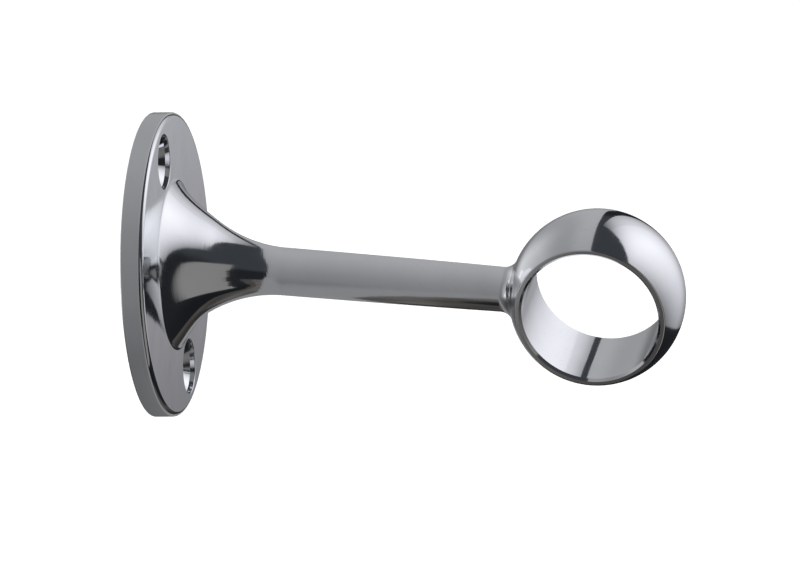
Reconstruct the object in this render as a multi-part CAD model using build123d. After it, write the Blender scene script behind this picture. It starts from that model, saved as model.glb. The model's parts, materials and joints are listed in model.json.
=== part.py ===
"""Curtain pole bracket: a round wall plate, a flared arm and a closed ring for the pole.

One casting, polished and plated all over.  The wall plate's back lies in the plane x = 0
with its centre at the origin, +X points away from the wall and +Z is up.  The pole runs
through the ring along Y.  All lengths are in millimetres.
"""
import math
import os

from build123d import *

# Wall plate
PLATE_DIAMETER = 55.9
PLATE_THICKNESS = 4.25
PLATE_EDGE_ROUND = 0.95

# Screw holes, one above and one below the arm
SCREW_HOLE_DIAMETER = 5.0
COUNTERSINK_DIAMETER = 10.2
COUNTERSINK_ANGLE = 90.0
SCREW_INSET = 6.8  # from the plate's rim to the middle of a hole

# Flare between the plate and the arm
FACE_LAND = 12.5  # flat ring of the plate's face, from the flare's foot to the rim
FLARE_LENGTH = 20.3
FOOT_FILLET = 1.5

# Arm
ARM_REACH = 82.6  # along the arm, from the wall to the middle of the ring
ARM_ROOT_DIAMETER = 8.8
ARM_TIP_DIAMETER = 8.0
ARM_DROP = 5.5  # degrees that the arm falls away from square to the wall
ARM_BEND_LENGTH = 7.0  # stretch above the flare's foot in which it turns by that angle
NECK_FILLET = 2.7

# Ring, a ball with two flat faces and a through bore
POLE_DIAMETER = 25.0
POLE_CLEARANCE = 0.2  # all round the pole
RING_WIDTH = 16.7
RING_LIP = 1.2  # width of the flat face between the bore and the ball
BORE_CHAMFER = 0.45

FLARE_SECTIONS = 8  # spans between the round sections that carry the flare
TINY = 1e-4  # tolerance for picking edges

# Sizes that follow from the ones above
plate_radius = PLATE_DIAMETER / 2
foot_radius = plate_radius - FACE_LAND
root_radius = ARM_ROOT_DIAMETER / 2
tip_radius = ARM_TIP_DIAMETER / 2
bore_radius = POLE_DIAMETER / 2 + POLE_CLEARANCE
ball_radius = math.hypot(bore_radius + RING_LIP, RING_WIDTH / 2)
hole_offset = plate_radius - SCREW_INSET
arm_length = ARM_REACH - PLATE_THICKNESS  # from the plate's face to the middle of the ring

# Flare: one arc that meets the arm level, and a hollow at its foot that meets the face level
flare_rise = foot_radius - root_radius
flare_arc = (FLARE_LENGTH**2 + flare_rise**2) / (2 * flare_rise)
arc_height = root_radius + flare_arc  # of the arc's centre, above the arm's axis
foot_angle = math.asin((FLARE_LENGTH - FOOT_FILLET) / (flare_arc - FOOT_FILLET))
foot_edge = arc_height - (flare_arc - FOOT_FILLET) * math.cos(foot_angle)
foot_length = FLARE_LENGTH - flare_arc * math.sin(foot_angle)


def spine_plane(distance):
    """Plane across the arm, a distance along its centre line from the plate's face.

    The centre line leaves the face square, turns down by ARM_DROP on one arc above the
    flare's foot and then runs straight to the middle of the ring.
    """
    square = min(distance, foot_length)
    bent = min(distance - square, ARM_BEND_LENGTH)
    straight = distance - square - bent
    turned = math.radians(ARM_DROP) * bent / ARM_BEND_LENGTH
    chord = bent * math.sin(turned / 2) / (turned / 2) if turned else bent
    x = PLATE_THICKNESS + square + chord * math.cos(turned / 2) + straight * math.cos(turned)
    z = -chord * math.sin(turned / 2) - straight * math.sin(turned)
    forward = (math.cos(turned), 0, -math.sin(turned))
    return Plane(origin=(x, 0, z), x_dir=(0, 1, 0), z_dir=forward)


def flare_stations():
    """Pairs of distance and radius down the flare's arc, from the top of its foot to the arm."""
    stations = []
    for step in range(FLARE_SECTIONS + 1):
        angle = foot_angle * (1 - step / FLARE_SECTIONS)
        distance = FLARE_LENGTH - flare_arc * math.sin(angle)
        stations.append((distance, arc_height - flare_arc * math.cos(angle)))
    return stations


def wall_plate():
    """Round plate turned about X: rim, rounded front edge, flat face and the flare's hollow foot."""
    foot_top = (PLATE_THICKNESS + foot_length, arc_height - flare_arc * math.cos(foot_angle))
    round_start = (PLATE_THICKNESS - PLATE_EDGE_ROUND, plate_radius)
    round_end = (PLATE_THICKNESS, plate_radius - PLATE_EDGE_ROUND)
    foot_start = (PLATE_THICKNESS, foot_edge)
    profile = [
        Polyline(foot_top, (foot_top[0], 0), (0, 0), (0, plate_radius), round_start),
        TangentArc(round_start, round_end, tangent=(1, 0)),
        Line(round_end, foot_start),
        TangentArc(foot_start, foot_top, tangent=(0, -1)),
    ]
    return revolve(make_face(profile), Axis.X)


def flared_arm():
    """The flare through its round sections, then the tapered arm to the middle of the ring."""
    flare = loft([spine_plane(distance) * Circle(radius) for distance, radius in flare_stations()])
    straight = arm_length - FLARE_LENGTH
    taper = Cone(root_radius, tip_radius, straight, align=(Align.CENTER, Align.CENTER, Align.MIN))
    return flare + spine_plane(FLARE_LENGTH) * taper


def ring_blank():
    """Ring before its bore is cut: a ball about the pole's axis with a flat face on either side."""
    half = RING_WIDTH / 2
    lip_radius = bore_radius + RING_LIP
    flats = Polyline((lip_radius, half), (0, half), (0, -half), (lip_radius, -half))
    outside = ThreePointArc((lip_radius, -half), (ball_radius, 0), (lip_radius, half))
    return revolve(make_face(flats + outside), Axis.Y)


def is_neck(edge, centre):
    """True for the edge round the arm where it enters the ball."""
    box = edge.bounding_box()
    slim = max(box.size.Y, box.size.Z) < ARM_TIP_DIAMETER + ARM_ROOT_DIAMETER
    near = abs((box.center() - centre).length - ball_radius) < ARM_TIP_DIAMETER / 2
    return slim and near and box.center().X < centre.X


def ring_edges(solid, radius, centre):
    """Circular edges of the given radius about the pole's axis, one on each ring face."""
    found = []
    for edge in solid.edges().filter_by(GeomType.CIRCLE):
        off_axis = (edge.arc_center - centre).cross(Vector(0, 1, 0)).length
        if off_axis < TINY and abs(edge.radius - radius) < TINY:
            found.append(edge)
    return found


def countersunk_hole(height):
    """Cutter for one screw hole: a straight hole under a conical seat open at the face."""
    hole_radius = SCREW_HOLE_DIAMETER / 2
    mouth_radius = COUNTERSINK_DIAMETER / 2
    slope = math.tan(math.radians(COUNTERSINK_ANGLE / 2))
    seat_depth = (mouth_radius - hole_radius) / slope
    clear = PLATE_THICKNESS  # how far the cutter stands out of the plate on either side
    profile = Polyline(
        (-clear, 0),
        (-clear, hole_radius),
        (PLATE_THICKNESS - seat_depth, hole_radius),
        (PLATE_THICKNESS, mouth_radius),
        (PLATE_THICKNESS + clear, mouth_radius),
        (PLATE_THICKNESS + clear, 0),
        close=True,
    )
    cutter = revolve(make_face(profile), Axis.X)
    return Pos(0, 0, height) * cutter


def bracket():
    """The whole casting."""
    centre = spine_plane(arm_length).origin

    body = wall_plate() + flared_arm()
    body = body + Pos(*centre) * ring_blank()
    neck = [edge for edge in body.edges() if is_neck(edge, centre)]
    body = fillet(neck, NECK_FILLET)

    body = body - Pos(*centre) * Rot(90, 0, 0) * Cylinder(bore_radius, 2 * RING_WIDTH)
    body = chamfer(ring_edges(body, bore_radius, centre), BORE_CHAMFER)

    for height in (-hole_offset, hole_offset):
        body = body - countersunk_hole(height)
    return body


os.makedirs("parts", exist_ok=True)
export_step(bracket(), "parts/bracket.step")
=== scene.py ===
"""Curtain pole bracket in polished chrome, set up as a studio photograph.

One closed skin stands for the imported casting.  Its plate, flare, arm, neck and ring are patches
with exact normals that share their border points, so reflections run over it without a facet.
"""

import json
import math

import bpy
import numpy as np
from mathutils import Matrix, Vector
from mathutils.geometry import delaunay_2d_cdt


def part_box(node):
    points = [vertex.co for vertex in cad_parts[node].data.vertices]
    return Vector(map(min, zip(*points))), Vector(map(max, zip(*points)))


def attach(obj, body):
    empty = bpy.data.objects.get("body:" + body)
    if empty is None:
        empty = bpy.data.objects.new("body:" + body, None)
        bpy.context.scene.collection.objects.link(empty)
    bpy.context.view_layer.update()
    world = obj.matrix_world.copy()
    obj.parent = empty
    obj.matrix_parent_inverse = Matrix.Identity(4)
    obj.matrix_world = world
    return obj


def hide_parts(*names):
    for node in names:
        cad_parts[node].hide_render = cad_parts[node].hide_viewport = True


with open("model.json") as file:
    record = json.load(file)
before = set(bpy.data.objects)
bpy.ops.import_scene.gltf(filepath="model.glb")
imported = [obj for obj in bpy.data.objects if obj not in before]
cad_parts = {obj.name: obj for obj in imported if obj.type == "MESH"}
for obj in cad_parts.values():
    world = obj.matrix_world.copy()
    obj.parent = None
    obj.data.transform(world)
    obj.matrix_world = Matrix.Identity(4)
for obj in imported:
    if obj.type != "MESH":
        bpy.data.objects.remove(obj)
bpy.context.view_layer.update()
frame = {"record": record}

MM = 0.001
mounts = {mount["name"]: mount for mount in frame["record"]["mounts"]}
pole_bore = mounts["pole_bore"]
wall_screws = mounts["wall_screws"]["dims"]
_, casting_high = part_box("bracket")

# Wall plate and its two screw holes
PLATE_RADIUS = casting_high.z
PLATE_THICKNESS = 4.25 * MM
PLATE_FRONT_ROUND = 0.95 * MM
PLATE_BACK_ROUND = 0.25 * MM
HOLE_RADIUS = wall_screws["hole_r_mm"] * MM
HOLE_OFFSET = wall_screws["spacing_y_mm"] / 2 * MM
SEAT_RADIUS = 5.0 * MM
SEAT_EDGE_ROUND = 0.18 * MM
SEAT_WALL = 1.0 * MM  # straight part under the mouth
SEAT_SLOPE = math.radians(45)

# Flare and arm
FOOT_RADIUS = 15.45 * MM
FOOT_FILLET = 1.5 * MM
FLARE_LENGTH = 20.3 * MM
ARM_ROOT_RADIUS = 4.4 * MM
ARM_NECK_RADIUS = 4.13 * MM
ARM_BEND_LENGTH = 7.0 * MM
NECK_FILLET = 2.7 * MM

# Ring, a ball with two flat faces about the pole's axis
RING_CENTRE = np.array(pole_bore["pos_m"])
BORE_RADIUS = pole_bore["dims"]["r_mm"] * MM
BORE_LENGTH = pole_bore["dims"]["length_mm"] * MM
BORE_CHAMFER = 0.45 * MM
RING_EDGE_ROUND = 0.3 * MM
BALL_RADIUS = casting_high.x - RING_CENTRE[0]

# Steps round each part, and rows along its profiles
ARM_STEPS = 192
PLATE_STEPS = 288
HOLE_STEPS = 96
RING_STEPS = 288
FOOT_ROWS = 10
FLARE_ROWS = 72
TAPER_ROWS = 40
NECK_ROWS = 28
FRONT_ROUND_ROWS = 16
RIM_ROWS = 4
SEAT_ROWS = 12
BORE_ROWS = 20
CHAMFER_ROWS = 2
EDGE_ROWS = 6  # on each small round
STRAIGHT_ROWS = 3  # on each short straight
BALL_ROWS = 48
SPINE_STEPS = 4000
NECK_GAP = 0.6  # steps of the ball's grid that are left free round the neck
FILL_TOLERANCE = 1e-7
WELD_DISTANCE = 1e-8

SIDE = np.array([0.0, 1.0, 0.0])
FORWARD = np.array([1.0, 0.0, 0.0])
UP = np.array([0.0, 0.0, 1.0])

# The flare is one arc that meets the arm level, with a hollow foot that meets the face level
flare_rise = FOOT_RADIUS - ARM_ROOT_RADIUS
flare_arc = (FLARE_LENGTH**2 + flare_rise**2) / (2 * flare_rise)
arc_height = ARM_ROOT_RADIUS + flare_arc
foot_angle = math.asin((FLARE_LENGTH - FOOT_FILLET) / (flare_arc - FOOT_FILLET))
foot_edge = arc_height - (flare_arc - FOOT_FILLET) * math.cos(foot_angle)
foot_length = FLARE_LENGTH - flare_arc * math.sin(foot_angle)

# The arm leaves the plate square and turns down to the ring about a corner above the foot
bend_corner = np.array([PLATE_THICKNESS + foot_length + ARM_BEND_LENGTH / 2, 0, 0])
arm_line = RING_CENTRE - bend_corner
arm_drop = math.atan2(-arm_line[2], arm_line[0])
arm_length = foot_length + ARM_BEND_LENGTH / 2 + float(np.linalg.norm(arm_line))
neck_start = arm_length - math.sqrt((BALL_RADIUS + NECK_FILLET)**2 - (ARM_NECK_RADIUS + NECK_FILLET)**2)
to_arm = np.array([-math.cos(arm_drop), 0, math.sin(arm_drop)])
ring_up = np.cross(SIDE, to_arm)
ring_half = BORE_LENGTH / 2 + BORE_CHAMFER


def arc(centre, radius, start, end, steps, hollow=False):
    """Profile arc: rows of (along, out, normal along, normal out) from one angle to another.

    A point is the centre plus the radius times (cos, sin).  The normal is (cos, sin) on a
    rounded edge and its opposite in a hollow.
    """
    angle = np.linspace(start, end, steps + 1)
    way = np.stack([np.cos(angle), np.sin(angle)], axis=1)
    return np.hstack([np.asarray(centre) + radius * way, -way if hollow else way])


def line(start, end, steps, normal):
    """Profile line: rows of (along, out, normal along, normal out) in even steps."""
    share = np.linspace(0, 1, steps + 1)[:, None]
    points = np.asarray(start) * (1 - share) + np.asarray(end) * share
    return np.hstack([points, np.tile(normal, (steps + 1, 1))])


def sweep(rows, centres, forward, up, steps, bend=0.0):
    """Patch of rings: each profile row is carried round its own centre.

    A point is the centre plus the row's radius times (cos * side + sin * up), where side is up
    crossed with forward.  Its normal is the row's normal, out in that direction and along
    forward.  Where the path of the centres bends down, the outer part grows by bend * radius
    * sin, because the rings stand further apart above the path than below it.
    """
    rows = np.asarray(rows)
    count = len(rows)
    forward = np.broadcast_to(forward, (count, 3))
    up = np.broadcast_to(up, (count, 3))
    angle = np.arange(steps) * 2 * math.pi / steps
    side = np.cross(up, forward)
    radial = np.cos(angle)[None, :, None] * side[:, None] + np.sin(angle)[None, :, None] * up[:, None]
    points = centres[:, None] + rows[:, 1, None, None] * radial
    stretch = 1 + np.broadcast_to(bend, count)[:, None] * rows[:, 1, None] * np.sin(angle)
    normals = (rows[:, 3, None] * stretch)[..., None] * radial + rows[:, 2, None, None] * forward[:, None]
    normals /= np.linalg.norm(normals, axis=2, keepdims=True)
    first = np.arange(count - 1)[:, None] * steps
    here = np.arange(steps)
    after = (here + 1) % steps
    faces = np.stack([first + here, first + after, first + steps + after, first + steps + here], axis=-1)
    return points, normals, faces.reshape(-1, 4)


def fill(flat, loops):
    """Triangles over points on a plane that keep every loop's edges, as rows of point numbers."""
    edges = np.concatenate([np.stack([loop, np.roll(loop, -1)], axis=1) for loop in loops])
    filled = delaunay_2d_cdt([Vector(p) for p in flat], edges.tolist(), [], 0, FILL_TOLERANCE)
    source = np.array([origins[0] for origins in filled[3]])
    return source[np.array(filled[2])]


def flat_face(outline, holes, x, facing):
    """Flat patch square to X between an outline and round holes, filled with triangles.

    Triangles are kept where their middle lies further from each hole's centre than the middle
    of the hole's chords.
    """
    loops = [outline] + holes
    points = np.concatenate(loops)
    starts = np.cumsum([0] + [len(loop) for loop in loops])
    numbers = [np.arange(a, b) for a, b in zip(starts, starts[1:])]
    flat = points[:, 1:] / MM
    triangles = fill(flat, numbers)
    middle = flat[triangles].mean(axis=1)
    kept = np.ones(len(triangles), bool)
    for number in numbers[1:]:
        centre = flat[number].mean(axis=0)
        reach = np.linalg.norm(flat[number[0]] - centre) * math.cos(math.pi / len(number))
        kept &= np.linalg.norm(middle - centre, axis=1) > reach
    points = np.column_stack([np.full(len(points), x), points[:, 1:]])
    normals = np.tile([facing, 0.0, 0.0], (len(points), 1))
    return points, normals, triangles[kept]


def arm_rows():
    """Profile of the arm's skin by distance along its centre line from the plate's face.

    Foot hollow, flare arc, a taper that narrows with the square of the distance, and the neck's
    hollow, which ends where it touches the ball.
    """
    down = 1.5 * math.pi
    foot_end = down - foot_angle
    foot = arc((FOOT_FILLET, foot_edge), FOOT_FILLET, math.pi, foot_end, FOOT_ROWS, hollow=True)
    flare = arc((FLARE_LENGTH, arc_height), flare_arc, foot_end, down, FLARE_ROWS, hollow=True)
    share = np.linspace(0, 1, TAPER_ROWS + 1)
    taper = ARM_ROOT_RADIUS - ARM_NECK_RADIUS
    run = neck_start - FLARE_LENGTH
    slope = 2 * taper * share / run
    arm = np.stack(
        [
            FLARE_LENGTH + run * share,
            ARM_ROOT_RADIUS - taper * share**2,
            slope / np.hypot(slope, 1),
            1 / np.hypot(slope, 1),
        ],
        axis=1,
    )
    neck_height = ARM_NECK_RADIUS + NECK_FILLET
    touch = 2 * math.pi - math.atan2(neck_height, arm_length - neck_start)
    neck = arc((neck_start, neck_height), NECK_FILLET, down, touch, NECK_ROWS, hollow=True)
    return np.concatenate([foot, flare[1:], arm[1:], neck[1:]])


def arm_path(distance):
    """Points, directions and bend of the arm's centre line.

    It runs square to the face over the foot, then turns by arm_drop along a smooth step (three
    squares less two cubes of the share) and runs straight to the ring.
    """
    fine = np.linspace(0, arm_length, SPINE_STEPS)
    share = np.clip((fine - foot_length) / ARM_BEND_LENGTH, 0, 1)
    turned = arm_drop * share**2 * (3 - 2 * share)
    step = np.diff(fine)
    run = np.concatenate([[0], np.cumsum(step * np.cos((turned[1:] + turned[:-1]) / 2))])
    fall = np.concatenate([[0], np.cumsum(step * np.sin((turned[1:] + turned[:-1]) / 2))])
    zero = np.zeros_like(distance)
    x = PLATE_THICKNESS + np.interp(distance, fine, run)
    points = np.stack([x, zero, -np.interp(distance, fine, fall)], axis=1)
    share = np.clip((distance - foot_length) / ARM_BEND_LENGTH, 0, 1)
    turned = arm_drop * share**2 * (3 - 2 * share)
    forward = np.stack([np.cos(turned), zero, -np.sin(turned)], axis=1)
    up = np.stack([np.sin(turned), zero, np.cos(turned)], axis=1)
    return points, forward, up, arm_drop * 6 * share * (1 - share) / ARM_BEND_LENGTH


def plate_rows():
    """Profile of the plate's edge by distance from the wall: back round, rim and front round."""
    front_start = PLATE_THICKNESS - PLATE_FRONT_ROUND
    back_centre = (PLATE_BACK_ROUND, PLATE_RADIUS - PLATE_BACK_ROUND)
    front_centre = (front_start, PLATE_RADIUS - PLATE_FRONT_ROUND)
    back = arc(back_centre, PLATE_BACK_ROUND, math.pi, math.pi / 2, EDGE_ROWS)
    rim = line((PLATE_BACK_ROUND, PLATE_RADIUS), (front_start, PLATE_RADIUS), RIM_ROWS, (0, 1))
    front = arc(front_centre, PLATE_FRONT_ROUND, math.pi / 2, 0, FRONT_ROUND_ROWS)
    return np.concatenate([back, rim[1:], front[1:]])


def seat_rows():
    """Three profiles of a screw hole from its mouth inwards: mouth and wall, conical seat, hole."""
    round_end = PLATE_THICKNESS - SEAT_EDGE_ROUND
    seat_start = PLATE_THICKNESS - SEAT_WALL
    seat_end = seat_start - (SEAT_RADIUS - HOLE_RADIUS) / math.tan(SEAT_SLOPE)
    way = (math.cos(SEAT_SLOPE), -math.sin(SEAT_SLOPE))
    mouth_centre = (round_end, SEAT_RADIUS + SEAT_EDGE_ROUND)
    mouth = arc(mouth_centre, SEAT_EDGE_ROUND, 0, -math.pi / 2, EDGE_ROWS)
    wall = line((round_end, SEAT_RADIUS), (seat_start, SEAT_RADIUS), STRAIGHT_ROWS, (0, -1))
    seat = line((seat_start, SEAT_RADIUS), (seat_end, HOLE_RADIUS), SEAT_ROWS, way)
    hole = line((seat_end, HOLE_RADIUS), (0, HOLE_RADIUS), STRAIGHT_ROWS, (0, -1))
    return np.concatenate([mouth, wall[1:]]), seat, hole


def ring_rows():
    """Profiles of the ring about the pole's axis, from one edge of the ball to the other.

    Rounded outer edge and flat face, chamfer, bore, and the first two mirrored.
    """
    edge_height = ring_half - RING_EDGE_ROUND
    edge_centre = math.sqrt((BALL_RADIUS - RING_EDGE_ROUND)**2 - edge_height**2)
    edge_latitude = math.atan2(edge_height, edge_centre)
    lip = BORE_RADIUS + BORE_CHAMFER
    half_bore = BORE_LENGTH / 2
    slope = math.cos(math.radians(45))
    edge_start = math.pi / 2 - edge_latitude
    outer = arc((edge_height, edge_centre), RING_EDGE_ROUND, edge_start, 0, EDGE_ROWS)
    face = line((ring_half, edge_centre), (ring_half, lip), STRAIGHT_ROWS, (1, 0))
    chamfer = line((ring_half, lip), (half_bore, BORE_RADIUS), CHAMFER_ROWS, (slope, -slope))
    bore = line((half_bore, BORE_RADIUS), (-half_bore, BORE_RADIUS), BORE_ROWS, (0, -1))
    near = [np.concatenate([outer, face[1:]]), chamfer]
    far = [rows[::-1] * [-1, 1, -1, 1] for rows in near[::-1]]
    return near + [bore] + far, edge_latitude


def ball_zone(edge_latitude, neck_loop):
    """Ball between its two edges, with a round hole where the neck's loop touches it.

    A point is the ring's centre plus the ball's radius times (cos lat * cos lon, sin lat,
    cos lat * sin lon), with longitude 0 towards the arm.
    """
    longitude = np.linspace(-math.pi, math.pi, RING_STEPS + 1)
    latitude = np.linspace(-edge_latitude, edge_latitude, BALL_ROWS + 1)
    grid = np.stack(np.meshgrid(longitude, latitude, indexing="ij"), axis=-1).reshape(-1, 2)
    way = neck_loop - RING_CENTRE
    way /= np.linalg.norm(way, axis=1, keepdims=True)
    loop = np.stack([np.arctan2(way @ ring_up, way @ to_arm), np.arcsin(way @ SIDE)], axis=1)
    from_arm = np.arccos(np.cos(grid[:, 1]) * np.cos(grid[:, 0]))
    hole = math.acos(way[0] @ to_arm)
    grid = grid[from_arm > hole + NECK_GAP * (longitude[1] - longitude[0])]
    flat = np.concatenate([grid, loop])
    triangles = fill(flat, [np.arange(len(grid), len(flat))])
    kept = (triangles < len(grid)).any(axis=1)
    lon, lat = flat.T
    normals = (np.cos(lat) * np.cos(lon))[:, None] * to_arm
    normals += (np.cos(lat) * np.sin(lon))[:, None] * ring_up + np.sin(lat)[:, None] * SIDE
    points = RING_CENTRE + BALL_RADIUS * normals
    points[len(grid):] = neck_loop
    return points, normals, triangles[kept]


def casting_patches():
    """All patches of the casting, border to border."""
    rows = arm_rows()
    centres, forward, up, bend = arm_path(rows[:, 0])
    arm = sweep(rows, centres, forward, up, ARM_STEPS, bend)
    rows = plate_rows()
    rim = sweep(rows, rows[:, :1] * FORWARD, FORWARD, UP, PLATE_STEPS)
    seats, mouths, exits = [], [], []
    for height in (-HOLE_OFFSET, HOLE_OFFSET):
        bores = []
        for rows in seat_rows():
            bores.append(sweep(rows, rows[:, :1] * FORWARD + height * UP, FORWARD, UP, HOLE_STEPS))
        mouths.append(bores[0][0][0])
        exits.append(bores[-1][0][-1])
        seats += bores
    face = flat_face(rim[0][-1], [arm[0][0]] + mouths, PLATE_THICKNESS, 1.0)
    back = flat_face(rim[0][0], exits, 0.0, -1.0)
    profiles, edge_latitude = ring_rows()
    ring = []
    for rows in profiles:
        ring.append(sweep(rows, RING_CENTRE + rows[:, :1] * SIDE, SIDE, ring_up, RING_STEPS))
    ball = ball_zone(edge_latitude, arm[0][-1])
    return [arm, rim, face, back, ball] + ring + seats


def weld(name, patches):
    """One mesh from patches: border points that meet are shared, and every corner keeps its normal.

    A face whose corners run the wrong way round its normal is turned over.
    """
    points = np.concatenate([patch[0].reshape(-1, 3) for patch in patches])
    normals = np.concatenate([patch[1].reshape(-1, 3) for patch in patches])
    starts = np.cumsum([0] + [patch[0].reshape(-1, 3).shape[0] for patch in patches])
    keys = np.round(points / WELD_DISTANCE).astype(np.int64)
    _, first, shared = np.unique(keys, axis=0, return_index=True, return_inverse=True)
    shared = shared.ravel()
    corners, sizes = [], []
    for start, patch in zip(starts, patches):
        faces = patch[2] + start
        first_edge = points[faces[:, 1]] - points[faces[:, 0]]
        second_edge = points[faces[:, 2]] - points[faces[:, 0]]
        across = np.cross(first_edge, second_edge)
        wrong = (across * normals[faces].mean(axis=1)).sum(axis=1) < 0
        faces[wrong] = faces[wrong][:, ::-1]
        corners.append(faces.ravel())
        sizes.append(np.full(len(faces), faces.shape[1]))
    corners = np.concatenate(corners)
    sizes = np.concatenate(sizes)
    mesh = bpy.data.meshes.new(name)
    mesh.vertices.add(len(first))
    mesh.vertices.foreach_set("co", points[first].ravel())
    mesh.loops.add(len(corners))
    mesh.loops.foreach_set("vertex_index", shared[corners].astype(np.int32))
    mesh.polygons.add(len(sizes))
    loop_start = np.concatenate([[0], np.cumsum(sizes)[:-1]])
    mesh.polygons.foreach_set("loop_start", loop_start.astype(np.int32))
    mesh.update(calc_edges=True)
    mesh.polygons.foreach_set("use_smooth", np.ones(len(sizes), bool))
    mesh.normals_split_custom_set(normals[corners])
    return mesh


# Camera, a long lens at the photograph's angle, in the 800 by 574 frame
IMAGE_WIDTH = 800
FOCAL_PIXELS = 16085.117
SENSOR_WIDTH = 36.0
CLIP_START = 0.1
CLIP_END = 100.0
CAMERA_PLACE = Vector((0.6658522, -2.5509901, 1.3293405))
CAMERA_RIGHT = Vector((0.977558, 0.18437, -0.101924))
CAMERA_UP = Vector((0.004759, 0.464366, 0.885631))
CAMERA_BACK = Vector((0.210614, -0.86624, 0.453067))


def add_camera():
    """Camera whose right, up and back directions were fitted to the photograph's outlines."""
    data = bpy.data.cameras.new("camera")
    data.sensor_width = SENSOR_WIDTH
    data.lens = FOCAL_PIXELS * SENSOR_WIDTH / IMAGE_WIDTH
    data.clip_start = CLIP_START
    data.clip_end = CLIP_END
    camera = bpy.data.objects.new("camera", data)
    turn = Matrix((CAMERA_RIGHT, CAMERA_UP, CAMERA_BACK)).transposed()
    camera.matrix_world = Matrix.Translation(CAMERA_PLACE) @ turn.to_4x4()
    bpy.context.scene.collection.objects.link(camera)
    bpy.context.scene.camera = camera


# Chrome: sizes in metres, and how far its values vary
CHROME_CLEAN = (0.815, 0.825, 0.845, 1)
CHROME_DULL = (0.775, 0.785, 0.80, 1)
ROUGHNESS_RANGE = (0.055, 0.13)
LINE_SPACING = 0.5 * MM
LINE_STRETCH = 40.0  # polish lines are this much longer than they are wide
LINE_DETAIL = 2
WAVE_SIZE = 6.0 * MM
WAVE_DETAIL = 1
SMUDGE_SIZE = 11.0 * MM
SMUDGE_DETAIL = 3
SMUDGE_RANGE = (0.35, 0.70)  # values of the noise from clean to dull
SPECK_SIZE = 0.7 * MM
SPECK_DETAIL = 0
SPECK_RANGE = (0.70, 0.78)
LINE_GRAIN = 0.35  # what the lines add to the roughness, where the smudges add 1
BUMP_HEIGHT = 0.03 * MM
LINE_SHARE = 0.16  # of the bump's height; the rest is the slow waviness of hand polishing
FLARE_END = 26 * MM  # from the wall; lines run along the arm from here
RING_START = 66 * MM  # and round the pole from here
ZONE_BLEND = 2 * MM


def add_node(material, kind, **settings):
    """New node in a material, with its settings."""
    node = material.node_tree.nodes.new(kind)
    for name, value in settings.items():
        setattr(node, name, value)
    return node


def join(material, *pairs):
    """Link each pair of an output and an input."""
    for output, target in pairs:
        material.node_tree.links.new(output, target)


def noise(material, vector, size, detail):
    """Value of a noise pattern with features of about the given size."""
    node = add_node(material, "ShaderNodeTexNoise")
    node.inputs["Scale"].default_value = 1 / size
    node.inputs["Detail"].default_value = detail
    join(material, (vector, node.inputs["Vector"]))
    return node.outputs["Fac"]


def spread(material, value, from_range, to_range):
    """Value mapped from one range to another, held at the ends."""
    node = add_node(material, "ShaderNodeMapRange")
    for name, number in zip(("From Min", "From Max", "To Min", "To Max"), from_range + to_range):
        node.inputs[name].default_value = number
    join(material, (value, node.inputs["Value"]))
    return node.outputs["Result"]


def stretched(material, vector, scale):
    """Vector with each of its parts scaled."""
    node = add_node(material, "ShaderNodeVectorMath", operation="MULTIPLY")
    node.inputs[1].default_value = scale
    join(material, (vector, node.inputs[0]))
    return node.outputs["Vector"]


def mixed(material, kind, share, first, second):
    """Mix of two colours or values by a share."""
    node = add_node(material, "ShaderNodeMix", data_type=kind)
    slots = [socket for socket in node.inputs if socket.enabled]
    join(material, (share, slots[0]))
    for source, slot in zip((first, second), slots[1:]):
        if isinstance(source, tuple):
            slot.default_value = source
        else:
            join(material, (source, slot))
    return next(socket for socket in node.outputs if socket.enabled)


def polish_lines(material, place):
    """Fine lines that polishing left: round the plate and flare, along the arm and round the ring.

    Their pattern is noise on a stretched place.  On the plate and flare that is x less the
    distance from the X axis, so that lines run round it.
    """
    parts = add_node(material, "ShaderNodeSeparateXYZ")
    across = add_node(material, "ShaderNodeVectorMath", operation="LENGTH")
    less = add_node(material, "ShaderNodeMath", operation="SUBTRACT")
    turned = add_node(material, "ShaderNodeCombineXYZ")
    round_place = add_node(material, "ShaderNodeVectorMath", operation="ADD")
    short = 1 / LINE_STRETCH
    join(
        material,
        (place, parts.inputs["Vector"]),
        (stretched(material, place, (0, 1, 1)), across.inputs[0]),
        (parts.outputs["X"], less.inputs[0]),
        (across.outputs["Value"], less.inputs[1]),
        (less.outputs["Value"], turned.inputs["X"]),
        (turned.outputs["Vector"], round_place.inputs[0]),
        (stretched(material, place, (0, short, short)), round_place.inputs[1]),
    )
    on_arm = spread(material, parts.outputs["X"], (FLARE_END, FLARE_END + ZONE_BLEND), (0, 1))
    on_ring = spread(material, parts.outputs["X"], (RING_START, RING_START + ZONE_BLEND), (0, 1))
    along = stretched(material, place, (short, 1, 1))
    pole_round = stretched(material, place, (short, 1, short))
    flare_lines = noise(material, round_place.outputs["Vector"], LINE_SPACING, LINE_DETAIL)
    arm_lines = noise(material, along, LINE_SPACING, LINE_DETAIL)
    ring_lines = noise(material, pole_round, LINE_SPACING, LINE_DETAIL)
    before_ring = mixed(material, "FLOAT", on_arm, flare_lines, arm_lines)
    return mixed(material, "FLOAT", on_ring, before_ring, ring_lines)


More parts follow.
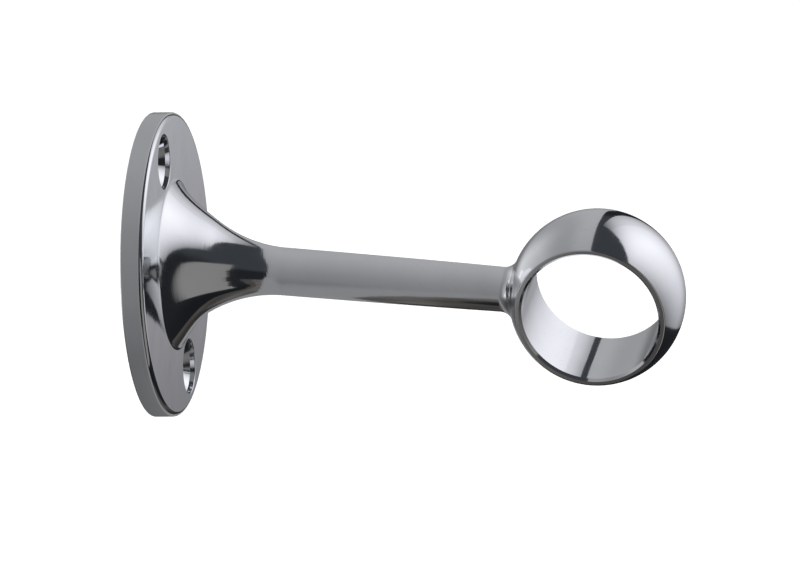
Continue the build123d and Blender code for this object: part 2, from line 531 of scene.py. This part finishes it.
def polished_chrome():
    """Chrome plate over a hand-polished casting: slow waves, fine lines, smudges and small specks."""
    material = bpy.data.materials.new("polished_chrome")
    material.use_nodes = True
    shader = material.node_tree.nodes["Principled BSDF"]
    shader.inputs["Metallic"].default_value = 1.0
    place = add_node(material, "ShaderNodeTexCoord").outputs["Object"]
    lines = polish_lines(material, place)
    waves = noise(material, place, WAVE_SIZE, WAVE_DETAIL)
    smudge = spread(material, noise(material, place, SMUDGE_SIZE, SMUDGE_DETAIL), SMUDGE_RANGE, (0, 1))
    specks = spread(material, noise(material, place, SPECK_SIZE, SPECK_DETAIL), SPECK_RANGE, (0, 1))

    height = add_node(material, "ShaderNodeMath", operation="MULTIPLY_ADD")
    height.inputs[1].default_value = LINE_SHARE
    bump = add_node(material, "ShaderNodeBump")
    bump.inputs["Distance"].default_value = BUMP_HEIGHT
    dull = add_node(material, "ShaderNodeMath", operation="MAXIMUM")
    grain = add_node(material, "ShaderNodeMath", operation="MULTIPLY_ADD")
    grain.inputs[1].default_value = LINE_GRAIN
    roughness = spread(material, grain.outputs["Value"], (0, 1 + LINE_GRAIN), ROUGHNESS_RANGE)
    colour = mixed(material, "RGBA", dull.outputs["Value"], CHROME_CLEAN, CHROME_DULL)
    join(
        material,
        (lines, height.inputs[0]),
        (waves, height.inputs[2]),
        (height.outputs["Value"], bump.inputs["Height"]),
        (bump.outputs["Normal"], shader.inputs["Normal"]),
        (smudge, dull.inputs[0]),
        (specks, dull.inputs[1]),
        (lines, grain.inputs[0]),
        (smudge, grain.inputs[2]),
        (roughness, shader.inputs["Roughness"]),
        (colour, shader.inputs["Base Color"]),
    )
    return material


# Studio pieces that only the metal sees: lengths are in metres, azimuths turn from +X towards +Y
# in degrees, and a pair of numbers is where a change of light starts and ends
SHEET_STEPS = 96  # each way over the panel and the card

# Grey surround: a rounded box section about the X axis, open in front and behind
SURROUND_TURN = 3  # degrees between its lines
SURROUND_ROWS = 60
SURROUND_HALF_WIDTH = 0.38
SURROUND_TOP = 0.306
SURROUND_BOTTOM = 0.10
SURROUND_CORNER = 4  # power of the section; 2 is an ellipse and more is squarer
SURROUND_BACK = -0.50
SURROUND_HOOD = 1.0  # how much further back it reaches at the top
SURROUND_FRONT = 0.038  # at the sides
SURROUND_FRONT_RISE = 0.037  # further forward at the top
SURROUND_FOOT_FRONT = 0.012  # below the arm
SURROUND_FOOT_SLANT = 0.08  # from there towards the sides
SURROUND_LIGHT = 0.355
SURROUND_TOP_LIGHT = 0.04  # added above
SURROUND_FAR_LIGHT = 0.09  # added on the far side and taken away on the near one
SURROUND_LOW_SHADE = 0.075  # taken away below
SURROUND_LOW_SIN = 0.3  # sine of the angle below level where that shade is whole
SURROUND_DEEP_SHADE = 0.18  # share lost behind the plate
SURROUND_DEEP = (-0.01, 0.10)  # distances behind the wall
SURROUND_UNDER_SHADE = 0.6  # further share lost there on its floor
SURROUND_UNDER = (0, 0.03)
SURROUND_BACK_LIGHT = 0.4  # added towards the opening behind
SURROUND_BEHIND = (0.12, 0.45)
SURROUND_HOOD_SHADE = 0.7  # share of that light which is missing at the top

# White panel, upright on the far side: its corners across and up from its foot point
PANEL_AZIMUTH = 26.0
PANEL_DISTANCE = 0.256
PANEL_CORNERS = ((-0.076, -0.127), (0.350, -0.264), (0.298, 0.384), (-0.185, 0.190))
PANEL_LIGHT = 1.22
PANEL_MIDDLE = 0.085  # height of its brightest line
PANEL_SPREAD = 0.175
PANEL_LEFT_SHADE = 0.75  # share lost at its left edge
PANEL_LEFT_WIDTH = 0.2
PANEL_RIGHT_SHADE = 0.25
PANEL_RIGHT = (0.03, 0.20)
PANEL_SEAM = 0.17  # where two sheets of the panel meet
PANEL_SEAM_SHADE = 0.10
PANEL_SEAM_BLEND = 0.004
PANEL_SECOND_SHADE = 0.20  # share lost over the second sheet
PANEL_SECOND_END = 0.31
PANEL_CORNER_LIGHT = 0.24  # added at its lower right
PANEL_CORNER_RIGHT = (0.15, 0.27)
PANEL_CORNER_DOWN = (0.06, 0.14)  # distances below the foot point
PANEL_CORNER_SHADE = 0.55  # share of it lost lower down
PANEL_CORNER_FOOT = (0.15, 0.25)

# Grey card on the camera's side: azimuths and elevations of its corners from the flare
CARD_CENTRE = np.array([0.015, -0.010, 0.0])
CARD_DISTANCE = 0.30
CARD_CORNERS = ((-3, -36), (-64, -52), (-51, 29), (-16, 8))
CARD_LIGHT = 0.25
CARD_FADE = (-0.05, 0.30)  # shares across it
CARD_FADE_LEAN = 0.1
CARD_EDGE = 0.965  # share across it where its right edge lies
CARD_EDGE_WAVES = ((0.02, 25), (0.015, 61))  # depth and rate of each
CARD_EDGE_BLEND = 0.01

# Brown strip under the arm, along the front edge of the surround's floor
STRIP_STEPS = 110
STRIP_ROWS = 32
STRIP_NEAR_END = -0.30  # towards the camera
STRIP_FAR_END = 0.10
STRIP_WIDTH = 0.036
STRIP_WAIST = 0.57  # share of the width that is lost beside the arm
STRIP_WAIST_START = (0.02, 0.06)  # distances from the arm, towards the camera
STRIP_WIDENING = 0.45  # metres a metre, further out
STRIP_WIDENING_START = 0.1
STRIP_LIGHT = 0.10
STRIP_FRONT_SHADE = 0.45  # share lost over its front part
STRIP_FRONT = (0.30, 0.55)  # shares of its width
STRIP_FAR_SHADE = 0.8  # share lost on the far side, next to the surround
STRIP_FAR = (0.02, 0.045)
STRIP_FAR_FRONT = (0.034, 0.040)
STREAK_DEPTH = 0.3
STREAK_WIDTH = 0.0035
STREAK_LENGTH = 0.021
STREAK_SWAY = 2.5
STREAK_SWAY_LENGTH = 0.05

# Dark booth round it all
BOOTH_RADIUS = 4.0
BOOTH_TIP = 138.0  # degrees from +X to the edge of its opening behind
BOOTH_STEPS = 60
BOOTH_BESIDE = (-0.85, -0.6)  # heights as shares of its radius
BOOTH_ABOVE = (0.2, 0.42)
DARK_ABOVE = 0.050
DARK_BESIDE = 0.018
DARK_BELOW = 0.012

# Tint of each piece's light
PANEL_TINT = np.array([0.98, 0.98, 1.035])
SURROUND_TINT = np.array([0.99, 0.995, 1.02])
CARD_TINT = np.array([1.015, 1.005, 0.98])
STRIP_TINT = np.array([1.06, 1.0, 0.94])
DARK_TINT = np.array([0.89, 0.98, 1.13])

# Floor, and the light on it
FLOOR_HEIGHT = -0.15
FLOOR_RADIUS = 3.0
FLOOR_MIDDLE = 0.001  # radius of the innermost ring of points
FLOOR_RINGS = 8
FLOOR_STEPS = 64
FLOOR_COLOUR = (0.92, 0.92, 0.92, 1)
FLOOR_ROUGHNESS = 0.9
FLOOR_WHITE = 0.35  # added for the camera, so that the lit floor reaches white
OPEN_SKY = 0.55  # even light on matt surfaces
LAMP_PLACE = Vector((0.35, -0.6, 1.6))
LAMP_SIZE = 0.8
LAMP_WATTS = 16.0


def smooth_step(value, low, high):
    """0 below low, 1 above high and three squares less two cubes of the share between them."""
    share = np.clip((np.asarray(value) - low) / (high - low), 0, 1)
    return share**2 * (3 - 2 * share)


def compass(azimuth, elevation):
    """Unit direction for an azimuth and an elevation in degrees, or an array of them."""
    turn, rise = np.radians(azimuth), np.radians(elevation)
    level = np.cos(rise)
    return np.stack([level * np.cos(turn), level * np.sin(turn), np.sin(rise) + 0 * turn], axis=-1)


def studio_glow():
    """Light of a studio sheet, read from the colour that each of its points carries."""
    material = bpy.data.materials.new("studio_glow")
    material.use_nodes = True
    nodes, links = material.node_tree.nodes, material.node_tree.links
    nodes.remove(nodes["Principled BSDF"])
    glow = nodes.new("ShaderNodeAttribute")
    glow.attribute_name = "glow"
    light = nodes.new("ShaderNodeEmission")
    links.new(glow.outputs["Color"], light.inputs["Color"])
    links.new(light.outputs["Emission"], nodes["Material Output"].inputs["Surface"])
    return material


def grid_mesh(name, points):
    """Mesh of quads over a grid of points."""
    rows, columns = points.shape[:2]
    number = np.arange(rows * columns).reshape(rows, columns)
    faces = np.stack([number[:-1, :-1], number[1:, :-1], number[1:, 1:], number[:-1, 1:]], axis=-1)
    mesh = bpy.data.meshes.new(name)
    mesh.from_pydata(points.reshape(-1, 3), [], faces.reshape(-1, 4).tolist())
    return mesh


def studio_sheet(name, points, glow, tint, material):
    """Sheet that glows towards the metal, point by point, and is hidden from the camera."""
    mesh = grid_mesh(name, points)
    colour = np.ones((glow.size, 4))
    colour[:, :3] = glow.reshape(-1, 1) * tint
    mesh.attributes.new("glow", "FLOAT_COLOR", "POINT").data.foreach_set("color", colour.ravel())
    mesh.materials.append(material)
    sheet = bpy.data.objects.new(name, mesh)
    bpy.context.scene.collection.objects.link(sheet)
    sheet.visible_camera = False
    sheet.visible_diffuse = False
    sheet.visible_shadow = False


def quad_sheet(corners):
    """Points over four corners, named from the lower left round to the upper left, and their shares.

    A point is the mix of the corners by its share across and its share up.
    """
    step = np.linspace(0, 1, SHEET_STEPS + 1)
    across, up = np.meshgrid(step, step, indexing="ij")
    weights = [(1 - across) * (1 - up), across * (1 - up), across * up, (1 - across) * up]
    points = sum(weight[..., None] * np.asarray(corner) for weight, corner in zip(weights, corners))
    return points, across, up


def white_panel(material):
    """White panel, brightest along a level line, fading at its left and with a dimmer sheet at its right.

    The fade at the left goes with the square of what is left of its width.  The light falls off
    above and below the brightest line along a bell curve, and its lower right corner glows.
    """
    flat, _, _ = quad_sheet(PANEL_CORNERS)
    s, t = flat[..., 0], flat[..., 1]
    (low_s, low_t), _, _, (high_s, high_t) = PANEL_CORNERS
    left_edge = low_s + (high_s - low_s) * (t - low_t) / (high_t - low_t)
    left = 1 - PANEL_LEFT_SHADE * np.clip(1 - (s - left_edge) / PANEL_LEFT_WIDTH, 0, 1)**2
    right = 1 - PANEL_RIGHT_SHADE * smooth_step(s, *PANEL_RIGHT)
    right = right - PANEL_SECOND_SHADE * smooth_step(s, PANEL_SEAM, PANEL_SECOND_END)
    seam = PANEL_SEAM_SHADE * smooth_step(s - PANEL_SEAM, -PANEL_SEAM_BLEND, PANEL_SEAM_BLEND)
    bell = np.exp(-((t - PANEL_MIDDLE) / PANEL_SPREAD)**2 / 2)
    fall = smooth_step(-t, *PANEL_CORNER_DOWN)
    fall = fall - PANEL_CORNER_SHADE * smooth_step(-t, *PANEL_CORNER_FOOT)
    corner = PANEL_CORNER_LIGHT * smooth_step(s, *PANEL_CORNER_RIGHT) * fall
    glow = PANEL_LIGHT * left * (right - seam) * bell + corner
    points = PANEL_DISTANCE * compass(PANEL_AZIMUTH, 0) + t[..., None] * UP
    points = points + s[..., None] * compass(PANEL_AZIMUTH + 90, 0)
    studio_sheet("white_panel", points, glow, PANEL_TINT, material)


def grey_card(material):
    """Grey card that fades to dark towards the panel and has a slightly ragged edge at its right."""
    corners = [CARD_CENTRE + CARD_DISTANCE * compass(*corner) for corner in CARD_CORNERS]
    points, across, up = quad_sheet(corners)
    left = smooth_step(across + CARD_FADE_LEAN * up, *CARD_FADE)
    ragged = CARD_EDGE + sum(depth * np.sin(rate * up) for depth, rate in CARD_EDGE_WAVES)
    right = smooth_step(ragged - across, -CARD_EDGE_BLEND, CARD_EDGE_BLEND)
    glow = DARK_BESIDE + (CARD_LIGHT - DARK_BESIDE) * left * right
    studio_sheet("grey_card", points, glow, CARD_TINT, material)


def grey_surround(material):
    """Grey surround: its section's radius is that of a rounded box, and its front edge leans forward.

    The radius is the sum of |cos| / half width and |sin| / height, each raised to the corner's
    power, raised to -1 over that power.  Its light is stronger above and on the far side, weaker
    below and behind the plate, and stronger again towards the opening behind.
    """
    turn, share = np.meshgrid(
        np.radians(np.arange(0, 360 + SURROUND_TURN, SURROUND_TURN)),
        np.linspace(0, 1, SURROUND_ROWS + 1),
        indexing="ij",
    )
    cos, sin = np.cos(turn), np.sin(turn)
    height = np.where(sin > 0, SURROUND_TOP, SURROUND_BOTTOM)
    power = SURROUND_CORNER
    radius = ((np.abs(cos) / SURROUND_HALF_WIDTH)**power + (np.abs(sin) / height)**power)**(-1 / power)
    y, z = radius * cos, radius * sin
    foot = np.minimum(SURROUND_FRONT, SURROUND_FOOT_FRONT + SURROUND_FOOT_SLANT * np.abs(y))
    front = np.where(sin > 0, SURROUND_FRONT + SURROUND_FRONT_RISE * sin, foot)
    back = SURROUND_BACK - SURROUND_HOOD * np.clip(sin, 0, None)
    x = back + (front - back) * share
    above, below = np.clip(sin, 0, 1), np.clip(-sin, 0, 1)
    low = smooth_step(below, 0, SURROUND_LOW_SIN)
    lit = SURROUND_LIGHT + SURROUND_TOP_LIGHT * above
    lit = lit + SURROUND_FAR_LIGHT * cos * (1 - low) - SURROUND_LOW_SHADE * low
    deep = SURROUND_DEEP_SHADE * smooth_step(-x, *SURROUND_DEEP)
    under = SURROUND_UNDER_SHADE * below * smooth_step(-x, *SURROUND_UNDER)
    behind = smooth_step(-x, *SURROUND_BEHIND) * (1 - SURROUND_HOOD_SHADE * above)
    glow = lit * (1 - deep - under) + SURROUND_BACK_LIGHT * behind
    points = np.stack([x, y, z], axis=-1)
    studio_sheet("grey_surround", points, glow, SURROUND_TINT, material)


def brown_strip(material):
    """Streaky brown strip, wide under the arm, narrow beside it and wider again towards the camera.

    A point is the front edge of the surround's floor plus its share of the strip's width, along X.
    The streaks are waves along X that sway and break with Y.
    """
    y, share = np.meshgrid(
        np.linspace(STRIP_NEAR_END, STRIP_FAR_END, STRIP_STEPS + 1),
        np.linspace(0, 1, STRIP_ROWS + 1),
        indexing="ij",
    )
    edge = SURROUND_FOOT_FRONT + SURROUND_FOOT_SLANT * np.abs(y)
    width = STRIP_WIDTH * (1 - STRIP_WAIST * smooth_step(-y, *STRIP_WAIST_START))
    width = width + STRIP_WIDENING * np.clip(-y - STRIP_WIDENING_START, 0, None)
    x = edge + share * width
    sway = STREAK_SWAY * np.sin(y / STREAK_SWAY_LENGTH)
    streaks = 1 + STREAK_DEPTH * np.sin(x / STREAK_WIDTH + sway) * np.cos(y / STREAK_LENGTH)
    front = 1 - STRIP_FRONT_SHADE * smooth_step(share, *STRIP_FRONT)
    far = 1 - STRIP_FAR_SHADE * smooth_step(y, *STRIP_FAR) * (1 - smooth_step(x, *STRIP_FAR_FRONT))
    glow = DARK_BELOW + STRIP_LIGHT * streaks * front * far
    points = np.stack([x, y, np.full_like(x, -SURROUND_BOTTOM)], axis=-1)
    studio_sheet("brown_strip", points, glow, STRIP_TINT, material)


def dark_booth(material):
    """Dark ball round it all, open behind the surround and a little lighter above.

    A point is the radius times (cos tip, sin tip * cos turn, sin tip * sin turn).
    """
    tip, turn = np.meshgrid(
        np.radians(np.linspace(0, BOOTH_TIP, BOOTH_STEPS + 1)),
        np.radians(np.linspace(0, 360, 2 * BOOTH_STEPS + 1)),
        indexing="ij",
    )
    way = np.stack([np.cos(tip), np.sin(tip) * np.cos(turn), np.sin(tip) * np.sin(turn)], axis=-1)
    beside = smooth_step(way[..., 2], *BOOTH_BESIDE)
    above = smooth_step(way[..., 2], *BOOTH_ABOVE)
    glow = DARK_BELOW + (DARK_BESIDE - DARK_BELOW) * beside + (DARK_ABOVE - DARK_BESIDE) * above
    studio_sheet("dark_booth", BOOTH_RADIUS * way, glow, DARK_TINT, material)


def seen_directly(nodes, links):
    """1 for rays from the camera, off metal or through glass, and 0 for light on matt surfaces."""
    path = nodes.new("ShaderNodeLightPath")
    camera_or_metal = nodes.new("ShaderNodeMath")
    camera_or_metal.operation = "ADD"
    links.new(path.outputs["Is Camera Ray"], camera_or_metal.inputs[0])
    links.new(path.outputs["Is Glossy Ray"], camera_or_metal.inputs[1])
    seen = nodes.new("ShaderNodeMath")
    seen.operation = "ADD"
    seen.use_clamp = True
    links.new(camera_or_metal.outputs["Value"], seen.inputs[0])
    links.new(path.outputs["Is Transmission Ray"], seen.inputs[1])
    return seen.outputs["Value"]


def add_world():
    """White background to what sees it directly, and a plain even light on everything else."""
    world = bpy.data.worlds.new("studio")
    bpy.context.scene.world = world
    world.use_nodes = True
    nodes, links = world.node_tree.nodes, world.node_tree.links
    level = nodes.new("ShaderNodeMapRange")
    level.inputs["To Min"].default_value = OPEN_SKY
    level.inputs["To Max"].default_value = 1.0
    links.new(seen_directly(nodes, links), level.inputs["Value"])
    nodes["Background"].inputs["Color"].default_value = (1, 1, 1, 1)
    links.new(level.outputs["Result"], nodes["Background"].inputs["Strength"])


def pale_floor():
    """Matt white that the lamp shades, lifted to white for the camera and open from below."""
    material = bpy.data.materials.new("pale_floor")
    material.use_nodes = True
    nodes, links = material.node_tree.nodes, material.node_tree.links
    shader = nodes["Principled BSDF"]
    shader.inputs["Base Color"].default_value = FLOOR_COLOUR
    shader.inputs["Roughness"].default_value = FLOOR_ROUGHNESS
    shader.inputs["Specular IOR Level"].default_value = 0.0
    shader.inputs["Emission Color"].default_value = (1, 1, 1, 1)
    lift = nodes.new("ShaderNodeMath")
    lift.operation = "MULTIPLY"
    lift.inputs[1].default_value = FLOOR_WHITE
    links.new(seen_directly(nodes, links), lift.inputs[0])
    links.new(lift.outputs["Value"], shader.inputs["Emission Strength"])
    side = nodes.new("ShaderNodeNewGeometry")
    clear = nodes.new("ShaderNodeBsdfTransparent")
    mix = nodes.new("ShaderNodeMixShader")
    links.new(side.outputs["Backfacing"], mix.inputs["Fac"])
    links.new(shader.outputs["BSDF"], mix.inputs[1])
    links.new(clear.outputs["BSDF"], mix.inputs[2])
    links.new(mix.outputs["Shader"], nodes["Material Output"].inputs["Surface"])
    return material


def add_floor():
    """Round floor below the bracket: points at even radii and angles, with faces up."""
    radius, angle = np.meshgrid(
        np.linspace(FLOOR_MIDDLE, FLOOR_RADIUS, FLOOR_RINGS + 1),
        np.linspace(0, 2 * math.pi, FLOOR_STEPS + 1),
        indexing="ij",
    )
    height = np.full_like(radius, FLOOR_HEIGHT)
    points = np.stack([radius * np.cos(angle), radius * np.sin(angle), height], axis=-1)
    floor = bpy.data.objects.new("floor", grid_mesh("floor", points))
    floor.data.materials.append(pale_floor())
    floor.visible_glossy = False
    bpy.context.scene.collection.objects.link(floor)


def add_lamp():
    """Soft square lamp above the bracket, which shades the floor."""
    data = bpy.data.lights.new("soft_lamp", "AREA")
    data.size = LAMP_SIZE
    data.energy = LAMP_WATTS
    lamp = bpy.data.objects.new("soft_lamp", data)
    lamp.location = LAMP_PLACE
    lamp.rotation_euler = (-LAMP_PLACE).to_track_quat("-Z", "Y").to_euler()
    lamp.visible_glossy = False
    bpy.context.scene.collection.objects.link(lamp)


casting = bpy.data.objects.new("bracket_casting", weld("bracket_casting", casting_patches()))
bpy.context.scene.collection.objects.link(casting)
casting.data.materials.append(polished_chrome())
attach(casting, "root")
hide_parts("bracket")
add_camera()
add_world()
add_floor()
add_lamp()
glow_material = studio_glow()
dark_booth(glow_material)
grey_surround(glow_material)
brown_strip(glow_material)
white_panel(glow_material)
grey_card(glow_material)

bpy.context.scene.view_settings.view_transform = "Standard"
